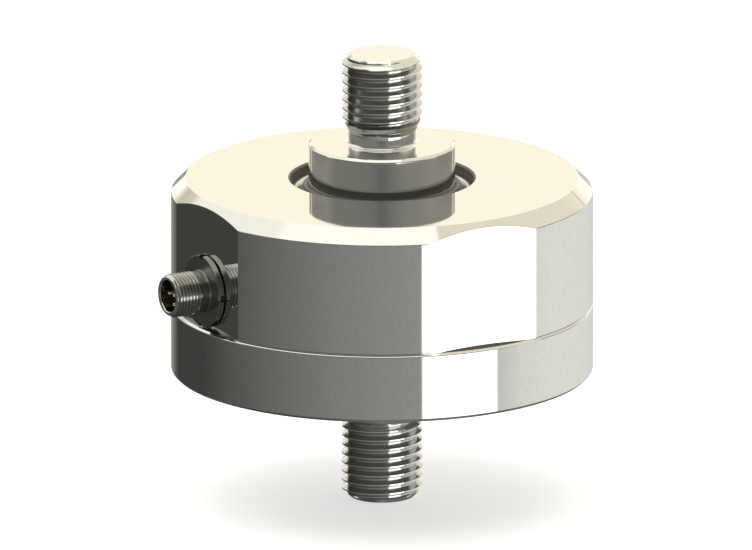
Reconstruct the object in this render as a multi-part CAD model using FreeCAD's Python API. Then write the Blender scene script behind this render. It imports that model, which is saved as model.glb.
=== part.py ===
import FreeCAD, Part
import math
import os
from FreeCAD import Vector

# Force sensor for tension and compression, in millimetres.
# The origin is the middle of the seat face on the lower boss. +Z points up the load axis,
# the upper stud stands on +Z, and the connector sits on the wrench flat that faces -X.

# Body
body_dia = 115.0
flat_depth = 2.5  # how deep a wrench flat is cut below the round side
flat_count = 4
base_height = 19.0
housing_height = 35.0
top_chamfer = 4.0
base_chamfer = 0.8  # on the lower edge of the base
seam_chamfer = 0.25  # on both edges where housing and base meet

# Seats and load studs
seat_dia = 40.0  # collar above and boss below
seat_chamfer = 0.7
collar_rise = 10.0  # collar above the top face of the housing
boss_drop = 10.5  # boss below the base
stud_dia = 22.0
stud_pitch = 2.5
stud_length = 25.0
stud_end_chamfer = 2.2
upper_neck_length = 5.7
lower_neck_length = 2.5
neck_undercut = 0.27  # neck radius below the root of the thread
foot_round = 1.0  # between a seat face and the neck on it

# Metric thread form: flanks at 30 degrees, and the depth and crest as shares of the pitch
thread_depth_share = 0.61343
thread_crest_share = 1.0 / 8.0
flank_angle = 30.0
cutter_rise = 0.02  # share of the pitch that the thread cutter stands out of the rod
crest_sectors = 12  # a rod is turned in sectors, so each patch of crest is shorter than it is wide

# Housing
wall_thickness = 7.0  # behind a wrench flat
roof_thickness = 7.0
opening_gap = 5.0  # from the collar to the wall of the opening
opening_chamfer = 0.5
ledge_depth = 3.0  # from the top face to the ledge that carries the diaphragm
ledge_width = 1.5
corner_round = 2.0
bore_chamfer = 0.4

# Diaphragm
diaphragm_thickness = 0.3
diaphragm_bend = 0.4  # bend radius at the middle of the sheet
shoulder_depth = 1.9  # from the top face to the shoulder that carries the inner rim
shoulder_width = 1.1
trough_depth = 2.4  # from the inner rim to the bottom of the trough
trough_width = 1.1
fit_gap = 0.05  # between a round piece and the hole that it sits in

# Base
spigot_height = 5.0  # rises into the housing
spigot_gap = 0.1
recess_depth = 1.0  # in the spigot, for the ring of the spring element
groove_width = 2.4
groove_depth = 1.4
groove_rise = 1.5  # from the seam to the seal groove
seal_side_gap = 0.15
seal_corner = 0.4

# Spring element
wiring_gap = 7.0  # from the ring to the wall of the housing
ring_width = 10.0
hub_dia = 26.0
hub_gap = 0.5  # under the hub, where the base stops an overload
web_rise = 5.5  # from the foot of the ring to the web
web_thickness = 4.0
web_round = 2.0
shoulder_height = 4.0
ring_chamfer = 0.4

# Screws and pins
spring_screw_dia = 6.0
spring_screw_head_dia = 10.0
spring_screw_head_height = 6.0
spring_screw_key = 5.0
spring_screw_count = 8
spring_screw_engagement = 10.0
housing_screw_dia = 3.0
housing_screw_head_dia = 5.5
housing_screw_head_height = 3.0
housing_screw_key = 2.5
housing_screw_count = 4
housing_screw_engagement = 8.0
board_screw_dia = 3.0
board_screw_head_dia = 5.6
board_screw_head_height = 2.2
board_screw_key = 2.0
board_screw_count = 4
board_screw_engagement = 5.0
key_depth_share = 0.55  # depth of the hexagon in a head, as a share of the head
head_sink = 1.0  # from the lower face of the base to a sunk head
head_gap = 0.3  # around a sunk head
shank_gap = 0.3  # around a shank that passes through
tip_gap = 1.5  # past the end of a screw or pin in a blind hole
screw_chamfer = 0.3
dowel_dia = 4.0
dowel_depth = 5.0  # in the base and in the ring
dowel_count = 2

# Board over the ring of the spring element
board_headroom = 4.9  # from the board up to the roof
board_thickness = 1.6
board_rim_gap = 1.5  # from the board to the housing, and to the shoulder inside
spacer_height = 4.0
spacer_dia = 5.5
chip_length = 10.3
chip_width = 7.5
chip_height = 2.1
chip_standoff = 0.2
chip_lead_pitch = 1.27
chip_lead_count = 7
chip_lead_width = 0.4
chip_lead_reach = 1.2
resistor_length = 3.2
resistor_width = 1.6
resistor_height = 0.6
resistor_angles = (252.0, 264.0, 276.0, 288.0)
capacitor_dia = 4.0
capacitor_height = 3.4
capacitor_round = 0.4
capacitor_angles = (72.0, 90.0, 108.0)

# Strain gauges on the web, one on each side of a solder pad
gauge_width = 3.6
gauge_thickness = 0.1
gauge_edge_gap = 1.0  # from a gauge to the round at the hub or ring
gauge_row_count = 4
terminal_length = 1.6
terminal_gap = 0.2  # from a gauge to the pad
terminal_width = 4.0
terminal_thickness = 0.15
bridge_wire_dia = 0.5
bridge_wire_spacing = 2.0
bridge_wire_rise = 2.5
bridge_wire_bend = 1.5
bridge_landing = 2.0  # from the inner rim of the board to a wire

# Connector on the flat that faces -X
flange_dia = 20.0
flange_thickness = 1.7
flange_gap = 0.3  # between the flange and the flat
flange_rise = 0.45  # from the seam up to the flange
flange_chamfer = 0.15
notch_count = 4
notch_width = 1.9
notch_depth = 0.9
nose_length = 10.5  # from the front of the flange to the tip
nose_dia = 12.0
nose_pitch = 1.0
nose_lip_chamfer = 0.8
nose_bore_dia = 8.6
nose_bore_chamfer = 0.25
band_dia = 11.5  # plain band between the flange and the thread
band_length = 1.6
band_round = 0.4
relief_length = 0.7
relief_undercut = 0.09
stem_dia = 14.0  # screwed into the wall of the housing
stem_inset = 0.5  # from the end of the stem to the inside of the wall
seal_inner_dia = 15.4
seal_width = 1.4
seal_depth = 0.7
seal_round = 0.3
contact_dia = 1.0
contact_circle = 2.65
contact_tip_depth = 1.8  # from the tip of the nose to a contact
contact_tail_gap = 1.5  # from the wall of the housing to the end of a contact
insert_depth = 8.2  # from the tip of the nose to the insulator
insert_length = 9.0
insert_gap = 0.03
lead_dia = 0.8
lead_step = 0.9  # between the leads that rise one behind the other
lead_bend = 0.9

# Radii that follow
body_radius = body_dia / 2
flat_radius = body_radius - flat_depth
cavity_radius = flat_radius - wall_thickness
seat_radius = seat_dia / 2
stud_radius = stud_dia / 2
opening_radius = seat_radius + opening_gap
ledge_radius = opening_radius - ledge_width
shoulder_radius = seat_radius + shoulder_width
spigot_radius = cavity_radius - spigot_gap
groove_radius = spigot_radius - groove_depth
ring_outer = cavity_radius - wiring_gap
ring_inner = ring_outer - ring_width
ring_middle = (ring_outer + ring_inner) / 2
hub_radius = hub_dia / 2
wall_middle = (cavity_radius + body_radius) / 2
board_outer = cavity_radius - board_rim_gap
board_inner = shoulder_radius + board_rim_gap

# Levels that follow
base_bottom = boss_drop
seam = base_bottom + base_height
spigot_top = seam + spigot_height
spring_seat = spigot_top - recess_depth
top_face = seam + housing_height
collar_top = top_face + collar_rise
roof_level = top_face - roof_thickness
ledge_level = top_face - ledge_depth
shoulder_level = top_face - shoulder_depth
board_top = roof_level - board_headroom
board_bottom = board_top - board_thickness
ring_top = board_bottom - spacer_height
web_bottom = spring_seat + web_rise
web_top = web_bottom + web_thickness
connector_level = seam + flange_rise + flange_dia / 2
nose_tip = flange_gap + flange_thickness + nose_length
stem_end = stem_inset - wall_thickness

# Angles about Z, in degrees. Flats face the axes, and the screws of the housing sit between them.
spring_screw_first = 180.0 / spring_screw_count
between_flats = 45.0


def outline(corners):
    """Closed wire in the XZ plane. A corner is (radius, height) or (radius, height, rounding)."""
    points = [Vector(corner[0], 0, corner[1]) for corner in corners]
    starts = []
    ends = []
    edges = []
    for i, corner in enumerate(corners):
        here = points[i]
        if len(corner) < 3:
            starts.append(here)
            ends.append(here)
            continue
        back = (points[i - 1] - here).normalize()
        ahead = (points[(i + 1) % len(points)] - here).normalize()
        half_angle = back.getAngle(ahead) / 2
        starts.append(here + back * (corner[2] / math.tan(half_angle)))
        ends.append(here + ahead * (corner[2] / math.tan(half_angle)))
        inward = (back + ahead).normalize()
        middle = here + inward * (corner[2] / math.sin(half_angle) - corner[2])
        edges.append(Part.Arc(starts[i], middle, ends[i]).toShape())
    for i in range(len(points)):
        if not ends[i - 1].isEqual(starts[i], 1e-6):
            edges.append(Part.LineSegment(ends[i - 1], starts[i]).toShape())
    return Part.Wire(Part.__sortEdges__(edges))


def sheet_outline(path, thickness):
    """Closed outline of a bent sheet, from the (radius, height, bend) corners of its middle line."""
    points = [Vector(corner[0], 0, corner[1]) for corner in path]
    runs = [(points[i + 1] - points[i]).normalize() for i in range(len(points) - 1)]
    upper = []
    lower = []
    for i, corner in enumerate(path):
        before = runs[max(i - 1, 0)]
        after = runs[min(i, len(runs) - 1)]
        normal = Vector(-before.z, 0, before.x)
        mitre = (normal + Vector(-after.z, 0, after.x)).normalize()
        reach = thickness / 2 / mitre.dot(normal)
        turn = before.x * after.z - before.z * after.x
        for side, side_corners in ((1, upper), (-1, lower)):
            place = points[i] + mitre * (reach * side)
            side_corner = (place.x, place.z)
            if len(corner) == 3:
                side_corner += (corner[2] - side * math.copysign(thickness / 2, turn),)
            side_corners.append(side_corner)
    return outline(upper + lower[::-1])


def around(shape, angles):
    """Copies of a shape turned about Z."""
    copies = []
    for angle in angles:
        copy = shape.copy()
        copy.rotate(Vector(0, 0, 0), Vector(0, 0, 1), angle)
        copies.append(copy)
    return copies


def spread(count, first=0.0):
    """Angles of a regular pattern."""
    return [first + 360.0 * i / count for i in range(count)]


def turned(corners, sectors=1):
    """Solid turned about Z, whole or in equal sectors that leave their borders in its faces."""
    face = Part.Face(outline(corners))
    sector = face.revolve(Vector(0, 0, 0), Vector(0, 0, 1), 360.0 / sectors)
    if sectors == 1:
        return sector
    copies = around(sector, spread(sectors))
    return copies[0].multiFuse(copies[1:])


def rod(radius, low, high, x=0.0, y=0.0):
    """Upright cylinder between two levels."""
    return Part.makeCylinder(radius, high - low, Vector(x, y, low))


def block(length, width, height, x, y, low):
    """Box centred on (x, y) that stands on a level."""
    return Part.makeBox(length, width, height, Vector(x - length / 2, y - width / 2, low))


def hexagon(width, low, high):
    """Upright hexagonal prism, its width measured across the flats."""
    corner = Vector(width / 2 / math.cos(math.radians(30)), 0, low)
    corners = [FreeCAD.Rotation(Vector(0, 0, 1), angle).multVec(corner) for angle in spread(6)]
    face = Part.Face(Part.makePolygon(corners + corners[:1]))
    return face.extrude(Vector(0, 0, high - low))


def thread_groove(radius, pitch, low, high):
    """What a threading tool takes away between two levels: one long right-hand groove."""
    slope = math.tan(math.radians(flank_angle))
    depth = thread_depth_share * pitch
    rise = cutter_rise * pitch
    crest_half = (1 - thread_crest_share) * pitch / 2
    mouth = crest_half + rise * slope
    root = crest_half - depth * slope
    corners = [
        Vector(radius + rise, 0, -mouth),
        Vector(radius - depth, 0, -root),
        Vector(radius - depth, 0, root),
        Vector(radius + rise, 0, mouth),
    ]
    profile = Part.Wire(Part.makePolygon(corners + corners[:1]))
    cone_angle = 0.0
    helix = Part.Wire(Part.makeLongHelix(pitch, high - low, radius, cone_angle).Edges)
    groove = helix.makePipeShell([profile], True, True)
    groove.translate(Vector(0, 0, low))
    return groove


def root_radius(radius, pitch):
    return radius - thread_depth_share * pitch


def threaded_rod(radius, pitch, neck_radius, low, high, end_chamfer, bore_radius=0.0, bore_chamfer=0.0):
    """Threaded length that grows from a neck at its low end and is chamfered at its high end."""
    blank = turned(
        [
            (bore_radius, low),
            (neck_radius, low),
            (radius, low + radius - neck_radius),
            (radius, high - end_chamfer),
            (radius - end_chamfer, high),
            (bore_radius + bore_chamfer, high),
            (bore_radius, high - bore_chamfer),
        ],
        crest_sectors,
    )
    return blank.cut(thread_groove(radius, pitch, low - pitch, high + pitch)).Solids[0]


def load_stud(neck_length):
    """Neck and thread of a load stud, standing on the level 0."""
    neck_radius = root_radius(stud_radius, stud_pitch) - neck_undercut
    neck = turned(
        [
            (0, 0),
            (neck_radius + foot_round, 0),
            (neck_radius, 0, foot_round),
            (neck_radius, neck_length),
            (0, neck_length),
        ]
    )
    thread = threaded_rod(
        stud_radius, stud_pitch, neck_radius, neck_length, stud_length, stud_end_chamfer
    )
    return neck.fuse(thread).Solids[0]


def socket_screw(dia, head_dia, head_height, key, length):
    """Cap screw whose head seats on the level 0 from below and whose shank points up."""
    radius = dia / 2
    head_radius = head_dia / 2
    screw = turned(
        [
            (0, -head_height),
            (head_radius - screw_chamfer, -head_height),
            (head_radius, -head_height + screw_chamfer),
            (head_radius, 0),
            (radius, 0),
            (radius, length - screw_chamfer),
            (radius - screw_chamfer, length),
            (0, length),
        ]
    )
    return screw.cut(hexagon(key, -head_height, -head_height * (1 - key_depth_share)))


def moved(shape, x, y, z):
    copy = shape.copy()
    copy.translate(Vector(x, y, z))
    return copy


def turned_over(shape):
    """The shape turned by half a turn about X."""
    copy = shape.copy()
    copy.rotate(Vector(0, 0, 0), Vector(1, 0, 0), 180)
    return copy


def wire_path(points, bend):
    """Open wire of straight runs joined by tangent arcs."""
    edges = []
    last = points[0]
    for i in range(1, len(points) - 1):
        back = (points[i - 1] - points[i]).normalize()
        ahead = (points[i + 1] - points[i]).normalize()
        half_angle = back.getAngle(ahead) / 2
        start = points[i] + back * (bend / math.tan(half_angle))
        end = points[i] + ahead * (bend / math.tan(half_angle))
        inward = (back + ahead).normalize()
        middle = points[i] + inward * (bend / math.sin(half_angle) - bend)
        edges.append(Part.LineSegment(last, start).toShape())
        edges.append(Part.Arc(start, middle, end).toShape())
        last = end
    edges.append(Part.LineSegment(last, points[-1]).toShape())
    return Part.Wire(edges)


def bent_wire(points, bend, dia):
    """Round wire swept along its route."""
    path = wire_path(points, bend)
    circle = Part.Circle(points[0], points[1] - points[0], dia / 2)
    section = Part.Wire(circle.toShape())
    return path.makePipeShell([section], True, True)


def on_connector_flat(shape):
    """Places what was made along +Z from the level 0 on the flat that faces -X."""
    copy = shape.copy()
    copy.rotate(Vector(0, 0, 0), Vector(0, 1, 0), -90)
    copy.translate(Vector(-flat_radius, 0, connector_level))
    return copy


spring_screw_seat = base_bottom + head_sink + spring_screw_head_height
spring_screw_tip = spring_seat + spring_screw_engagement
housing_screw_seat = base_bottom + head_sink + housing_screw_head_height
housing_screw_tip = seam + housing_screw_engagement
board_screw_tip = ring_top - board_screw_engagement


def sunk_hole(screw_dia, head_dia, circle, seat_level, top_level):
    """Counterbored hole from below the base up to a level, on the side of +X."""
    sink = rod(head_dia / 2 + head_gap, base_bottom - head_gap, seat_level, circle)
    return sink.fuse(rod(screw_dia / 2 + shank_gap, seat_level, top_level, circle))


def tapped_hole(screw_dia, circle, low, high):
    """Tapped hole at its thread's outer size, on the side of +X."""
    return rod(screw_dia / 2 + fit_gap, low, high, circle)


def make_housing():
    seam_edge = body_radius - seam_chamfer
    body = turned(
        [
            (cavity_radius + bore_chamfer, seam),
            (seam_edge, seam),
            (body_radius, seam + seam_chamfer),
            (body_radius, top_face - top_chamfer),
            (body_radius - top_chamfer, top_face),
            (opening_radius + opening_chamfer, top_face),
            (opening_radius, top_face - opening_chamfer),
            (opening_radius, ledge_level),
            (ledge_radius, ledge_level),
            (ledge_radius, roof_level),
            (cavity_radius, roof_level, corner_round),
            (cavity_radius, seam + bore_chamfer),
        ]
    )
    flat = block(flat_depth * 2, body_dia, housing_height, body_radius, 0, seam)
    hole = tapped_hole(
        housing_screw_dia, wall_middle, seam - head_gap, housing_screw_tip + tip_gap
    )
    stem_hole = rod(stem_dia / 2 + fit_gap, -wall_thickness * 2, flat_depth)
    body = body.cut(around(flat, spread(flat_count)))
    body = body.cut(around(hole, spread(housing_screw_count, between_flats)))
    return body.cut(on_connector_flat(stem_hole))


def make_base():
    disc = turned(
        [
            (0, 0),
            (seat_radius - seat_chamfer, 0),
            (seat_radius, seat_chamfer),
            (seat_radius, base_bottom),
            (body_radius - base_chamfer, base_bottom),
            (body_radius, base_bottom + base_chamfer),
            (body_radius, seam - seam_chamfer),
            (body_radius - seam_chamfer, seam),
            (spigot_radius, seam),
            (spigot_radius, seam + groove_rise),
            (groove_radius, seam + groove_rise),
            (groove_radius, seam + groove_rise + groove_width),
            (spigot_radius, seam + groove_rise + groove_width),
            (spigot_radius, spigot_top - bore_chamfer),
            (spigot_radius - bore_chamfer, spigot_top),
            (ring_outer + fit_gap, spigot_top),
            (ring_outer + fit_gap, spring_seat),
            (0, spring_seat),
        ]
    )
    spring_hole = sunk_hole(
        spring_screw_dia, spring_screw_head_dia, ring_middle, spring_screw_seat, spigot_top
    )
    housing_hole = sunk_hole(
        housing_screw_dia, housing_screw_head_dia, wall_middle, housing_screw_seat, spigot_top
    )
    dowel_hole = rod(
        dowel_dia / 2 + fit_gap, spring_seat - dowel_depth - fit_gap, spigot_top, ring_middle
    )
    base = disc.cut(around(spring_hole, spread(spring_screw_count, spring_screw_first)))
    base = base.cut(around(housing_hole, spread(housing_screw_count, between_flats)))
    base = base.cut(around(dowel_hole, spread(dowel_count)))
    return base.fuse(turned_over(load_stud(lower_neck_length))).Solids[0]


def make_spring_element():
    shoulder_bottom = shoulder_level - shoulder_height
    flare_bottom = shoulder_bottom - (shoulder_radius - hub_radius)
    body = turned(
        [
            (0, spring_seat + hub_gap),
            (hub_radius, spring_seat + hub_gap),
            (hub_radius, web_bottom, web_round),
            (ring_inner, web_bottom, web_round),
            (ring_inner, spring_seat),
            (ring_outer - ring_chamfer, spring_seat),
            (ring_outer, spring_seat + ring_chamfer),
            (ring_outer, ring_top - ring_chamfer),
            (ring_outer - ring_chamfer, ring_top),
            (ring_inner, ring_top),
            (ring_inner, web_top, web_round),
            (hub_radius, web_top, web_round),
            (hub_radius, flare_bottom),
            (shoulder_radius, shoulder_bottom),
            (shoulder_radius, shoulder_level),
            (seat_radius, shoulder_level),
            (seat_radius, collar_top - seat_chamfer),
            (seat_radius - seat_chamfer, collar_top),
            (0, collar_top),
        ]
    )
    screw_hole = tapped_hole(
        spring_screw_dia, ring_middle, spring_seat - head_gap, spring_screw_tip + tip_gap
    )
    dowel_hole = rod(
        dowel_dia / 2 + fit_gap, spring_seat - head_gap, spring_seat + dowel_depth + fit_gap, ring_middle
    )
    board_hole = tapped_hole(
        board_screw_dia, ring_middle, board_screw_tip - tip_gap, ring_top + head_gap
    )
    body = body.cut(around(screw_hole, spread(spring_screw_count, spring_screw_first)))
    body = body.cut(around(dowel_hole, spread(dowel_count)))
    body = body.cut(around(board_hole, spread(board_screw_count, between_flats)))
    return body.fuse(moved(load_stud(upper_neck_length), 0, 0, collar_top)).Solids[0]


def make_sealing_diaphragm():
    """Thin ring that rests on the shoulder and on the ledge, with a trough between them."""
    middle = diaphragm_thickness / 2
    inner_level = shoulder_level + middle
    outer_level = ledge_level + middle
    trough_level = inner_level - trough_depth
    slot_middle = (shoulder_radius + ledge_radius) / 2
    sheet = sheet_outline(
        [
            (seat_radius + fit_gap, inner_level),
            (shoulder_radius + diaphragm_bend, inner_level, diaphragm_bend),
            (slot_middle - trough_width / 2, trough_level, diaphragm_bend),
            (slot_middle + trough_width / 2, trough_level, diaphragm_bend),
            (ledge_radius - diaphragm_bend, outer_level, diaphragm_bend),
            (opening_radius - fit_gap, outer_level),
        ],
        diaphragm_thickness,
    )
    return Part.Face(sheet).revolve(Vector(0, 0, 0), Vector(0, 0, 1), 360)


def make_base_seal():
    inner = groove_radius + fit_gap
    outer = cavity_radius - fit_gap
    low = seam + groove_rise + seal_side_gap
    high = seam + groove_rise + groove_width - seal_side_gap
    corners = [(inner, low), (outer, low), (outer, high), (inner, high)]
    return turned([corner + (seal_corner,) for corner in corners])


def make_spring_screws():
    length = spring_screw_tip - spring_screw_seat
    screw = socket_screw(
        spring_screw_dia, spring_screw_head_dia, spring_screw_head_height, spring_screw_key, length
    )
    screw = moved(screw, ring_middle, 0, spring_screw_seat)
    return Part.makeCompound(around(screw, spread(spring_screw_count, spring_screw_first)))


def make_housing_screws():
    length = housing_screw_tip - housing_screw_seat
    screw = socket_screw(
        housing_screw_dia, housing_screw_head_dia, housing_screw_head_height, housing_screw_key, length
    )
    screw = moved(screw, wall_middle, 0, housing_screw_seat)
    return Part.makeCompound(around(screw, spread(housing_screw_count, between_flats)))


def make_board_screws():
    length = board_top - board_screw_tip
    screw = socket_screw(
        board_screw_dia, board_screw_head_dia, board_screw_head_height, board_screw_key, length
    )
    screw = moved(turned_over(screw), ring_middle, 0, board_top)
    return Part.makeCompound(around(screw, spread(board_screw_count, between_flats)))


def make_dowel_pins():
    radius = dowel_dia / 2
    low = spring_seat - dowel_depth
    high = spring_seat + dowel_depth
    pin = turned(
        [
            (0, low),
            (radius - screw_chamfer, low),
            (radius, low + screw_chamfer),
            (radius, high - screw_chamfer),
            (radius - screw_chamfer, high),
            (0, high),
        ]
    )
    return Part.makeCompound(around(moved(pin, ring_middle, 0, 0), spread(dowel_count)))


def make_board_spacers():
    tube = rod(spacer_dia / 2, ring_top, board_bottom, ring_middle)
    tube = tube.cut(rod(board_screw_dia / 2 + shank_gap, ring_top, board_bottom, ring_middle))
    return Part.makeCompound(around(tube, spread(board_screw_count, between_flats)))


def make_terminal_board():
    board = rod(board_outer, board_bottom, board_top).cut(rod(board_inner, board_bottom, board_top))
    hole = rod(board_screw_dia / 2 + shank_gap, board_bottom, board_top, ring_middle)
    return board.cut(around(hole, spread(board_screw_count, between_flats)))


def make_amplifier_chip():
    """Chip with a row of bent leads on each long side."""
    chip = block(chip_width, chip_length, chip_height, ring_middle, 0, board_top + chip_standoff)
    leads = []
    first = -(chip_lead_count - 1) / 2
    lead_height = chip_standoff + chip_height / 2
    for side in (-1, 1):
        root = ring_middle + side * chip_width / 2
        toe = root + side * chip_lead_reach / 2
        for i in range(chip_lead_count):
            y = (first + i) * chip_lead_pitch
            riser = block(
                chip_lead_width, chip_lead_width, lead_height, toe, y, board_top
            )
            arm = block(
                chip_lead_reach, chip_lead_width, chip_standoff,
                root, y, board_top + lead_height - chip_standoff,
            )
            foot = block(
                chip_lead_reach / 2, chip_lead_width, chip_standoff,
                toe + side * chip_lead_reach / 4, y, board_top,
            )
            leads += [riser, arm, foot]
    return chip.multiFuse(leads).Solids[0]


def make_trim_resistors():
    resistor = block(resistor_width, resistor_length, resistor_height, ring_middle, 0, board_top)
    return Part.makeCompound(around(resistor, resistor_angles))


def make_capacitors():
    radius = capacitor_dia / 2
    top = board_top + capacitor_height
    can = turned([(0, board_top), (radius, board_top), (radius, top, capacitor_round), (0, top)])
    return Part.makeCompound(around(moved(can, ring_middle, 0, 0), capacitor_angles))


def gauge_rows():
    return spread(gauge_row_count, between_flats)


gauge_start = hub_radius + web_round + gauge_edge_gap
gauge_end = ring_inner - web_round - gauge_edge_gap
terminal_circle = (gauge_start + gauge_end) / 2
gauge_length = (gauge_end - gauge_start - terminal_length) / 2 - terminal_gap


def make_strain_gauges():
    """One gauge near the hub and one near the ring in each row."""
    gauges = []
    for circle in (gauge_start + gauge_length / 2, gauge_end - gauge_length / 2):
        gauge = block(gauge_length, gauge_width, gauge_thickness, circle, 0, web_top)
        gauges += around(gauge, gauge_rows())
    return Part.makeCompound(gauges)


def make_gauge_terminals():
    pad = block(terminal_length, terminal_width, terminal_thickness, terminal_circle, 0, web_top)
    return Part.makeCompound(around(pad, gauge_rows()))


def make_bridge_wires():
    """Two wires from each pad, round the shoulder of the spring element and up to the board."""
    start = web_top + terminal_thickness
    landing = board_inner + bridge_landing
    wires = []
    for y in (-bridge_wire_spacing / 2, bridge_wire_spacing / 2):
        route = [
            Vector(terminal_circle, y, start),
            Vector(terminal_circle, y, start + bridge_wire_rise),
            Vector(landing, y, board_bottom - bridge_wire_rise),
            Vector(landing, y, board_bottom),
        ]
        wires += around(bent_wire(route, bridge_wire_bend, bridge_wire_dia), gauge_rows())
    return Part.makeCompound(wires)


def make_connector_shell():
    """Screwed stem, notched flange, plain band and threaded nose, with one bore through all."""
    bore = nose_bore_dia / 2
    front = flange_gap + flange_thickness
    band = band_dia / 2
    relief = root_radius(nose_dia / 2, nose_pitch) - relief_undercut
    thread_start = front + band_length + relief_length
    seal_inner = seal_inner_dia / 2 - fit_gap
    seal_outer = seal_inner_dia / 2 + seal_width + fit_gap
    shell = turned(
        [
            (bore, stem_end),
            (stem_dia / 2, stem_end),
            (stem_dia / 2, flange_gap),
            (seal_inner, flange_gap),
            (seal_inner, flange_gap + seal_depth),
            (seal_outer, flange_gap + seal_depth),
            (seal_outer, flange_gap),
            (flange_dia / 2 - flange_chamfer, flange_gap),
            (flange_dia / 2, flange_gap + flange_chamfer),
            (flange_dia / 2, front - flange_chamfer),
            (flange_dia / 2 - flange_chamfer, front),
            (band, front, band_round),
            (band, front + band_length),
            (relief, front + band_length),
            (relief, thread_start),
            (bore, thread_start),
        ]
    )
    notch = block(
        notch_depth * 2, notch_width, flange_thickness * 2, flange_dia / 2, 0, flange_gap / 2
    )
    shell = shell.cut(around(notch, spread(notch_count)))
    thread = threaded_rod(
        nose_dia / 2, nose_pitch, relief, thread_start, nose_tip,
        nose_lip_chamfer, bore, nose_bore_chamfer,
    )
    return on_connector_flat(shell.fuse(thread).Solids[0])


def make_connector_seal():
    inner = seal_inner_dia / 2
    outer = inner + seal_width
    high = flange_gap + seal_depth - fit_gap
    return on_connector_flat(
        turned([(inner, 0), (outer, 0), (outer, high, seal_round), (inner, high, seal_round)])
    )


def contact_places():
    """Where the contacts stand around the connector's axis, as (across, up) with the centre first."""
    ring = [(contact_circle, 0), (0, contact_circle), (-contact_circle, 0), (0, -contact_circle)]
    return [(0, 0)] + ring


def plug(low, high):
    """Round plug in the bore of the connector, with a hole for each contact."""
    holes = []
    for across, up in contact_places():
        holes.append(rod(contact_dia / 2 + insert_gap, low, high, up, across))
    return rod(nose_bore_dia / 2 - insert_gap, low, high).cut(holes)


insert_front = nose_tip - insert_depth
insert_back = insert_front - insert_length


def make_connector_insert():
    return on_connector_flat(plug(insert_back, insert_front))


def make_connector_potting():
    return on_connector_flat(plug(stem_end, insert_back))


def make_contact_pin(across, up):
    radius = contact_dia / 2
    tip = nose_tip - contact_tip_depth
    tail = -wall_thickness - contact_tail_gap
    pin = turned([(0, tail), (radius, tail), (radius, tip, radius), (0, tip)])
    return on_connector_flat(moved(pin, up, across, 0))


def make_lead_wire(across, up):
    """Wire from the tail of a contact up to the board. The lower contacts' wires rise further in."""
    tail = -(cavity_radius - contact_tail_gap)
    row = 1 - round(up / contact_circle)
    rise = tail + contact_tail_gap + row * lead_step
    level = connector_level + up
    route = [Vector(tail, across, level), Vector(rise, across, level), Vector(rise, across, board_bottom)]
    return bent_wire(route, lead_bend, lead_dia)


def make_all():
    nodes = {
        "housing": make_housing(),
        "base": make_base(),
        "spring_element": make_spring_element(),
        "sealing_diaphragm": make_sealing_diaphragm(),
        "base_seal": make_base_seal(),
        "spring_screws": make_spring_screws(),
        "housing_screws": make_housing_screws(),
        "dowel_pins": make_dowel_pins(),
        "strain_gauges": make_strain_gauges(),
        "gauge_terminals": make_gauge_terminals(),
        "bridge_wires": make_bridge_wires(),
        "terminal_board": make_terminal_board(),
        "board_spacers": make_board_spacers(),
        "board_screws": make_board_screws(),
        "amplifier_chip": make_amplifier_chip(),
        "trim_resistors": make_trim_resistors(),
        "capacitors": make_capacitors(),
        "connector_shell": make_connector_shell(),
        "connector_seal": make_connector_seal(),
        "connector_insert": make_connector_insert(),
        "connector_potting": make_connector_potting(),
    }
    for number, (across, up) in enumerate(contact_places(), start=1):
        nodes[f"contact_pin_{number}"] = make_contact_pin(across, up)
        nodes[f"lead_wire_{number}"] = make_lead_wire(across, up)
    return nodes


os.makedirs("parts", exist_ok=True)
for name, shape in make_all().items():
    shape.exportStep(f"parts/{name}.step")
    state = "valid" if shape.isValid() else "BROKEN"
    print(name, len(shape.Solids), "solids", round(shape.Volume), "mm3", state)
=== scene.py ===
# %% [markdown]
# # A force sensor with two threaded studs
# The sensor is a round body of polished steel, 115 mm across. A stud stands on top, another
# underneath, and a small round connector sits on one of four wrench flats. The CAD model gives
# every size and place. Here the parts that the eye sees are modelled again with cleaner
# meshes and fine edge breaks, and every part gets its finish. The first step loads the CAD model
# and keeps its box, because nothing that is added may stand out of it.

# %% Load the CAD frame
import math

import bmesh
import bpy
from mathutils import Matrix, Vector


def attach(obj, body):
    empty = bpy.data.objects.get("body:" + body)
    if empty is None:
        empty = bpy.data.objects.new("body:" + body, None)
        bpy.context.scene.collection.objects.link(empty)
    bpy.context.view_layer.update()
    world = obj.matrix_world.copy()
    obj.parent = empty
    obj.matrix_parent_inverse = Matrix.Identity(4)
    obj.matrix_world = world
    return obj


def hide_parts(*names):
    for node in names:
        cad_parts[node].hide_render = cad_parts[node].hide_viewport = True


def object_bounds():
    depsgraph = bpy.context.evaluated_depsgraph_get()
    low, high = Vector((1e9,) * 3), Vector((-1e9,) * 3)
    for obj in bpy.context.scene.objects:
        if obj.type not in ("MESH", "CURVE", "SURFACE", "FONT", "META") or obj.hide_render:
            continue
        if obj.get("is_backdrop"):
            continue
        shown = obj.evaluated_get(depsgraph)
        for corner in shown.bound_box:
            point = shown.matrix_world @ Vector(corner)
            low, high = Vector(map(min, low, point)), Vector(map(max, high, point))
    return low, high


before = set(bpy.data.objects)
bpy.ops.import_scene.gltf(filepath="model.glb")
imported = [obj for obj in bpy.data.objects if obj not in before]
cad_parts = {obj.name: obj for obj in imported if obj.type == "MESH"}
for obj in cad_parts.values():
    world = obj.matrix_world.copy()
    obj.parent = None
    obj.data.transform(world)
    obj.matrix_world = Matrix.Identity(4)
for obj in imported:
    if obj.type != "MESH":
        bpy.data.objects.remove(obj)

cad_low, cad_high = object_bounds()
print("CAD nodes:", len(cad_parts))
print("CAD box in mm:", [round(1000 * side) for side in cad_high - cad_low])

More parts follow.
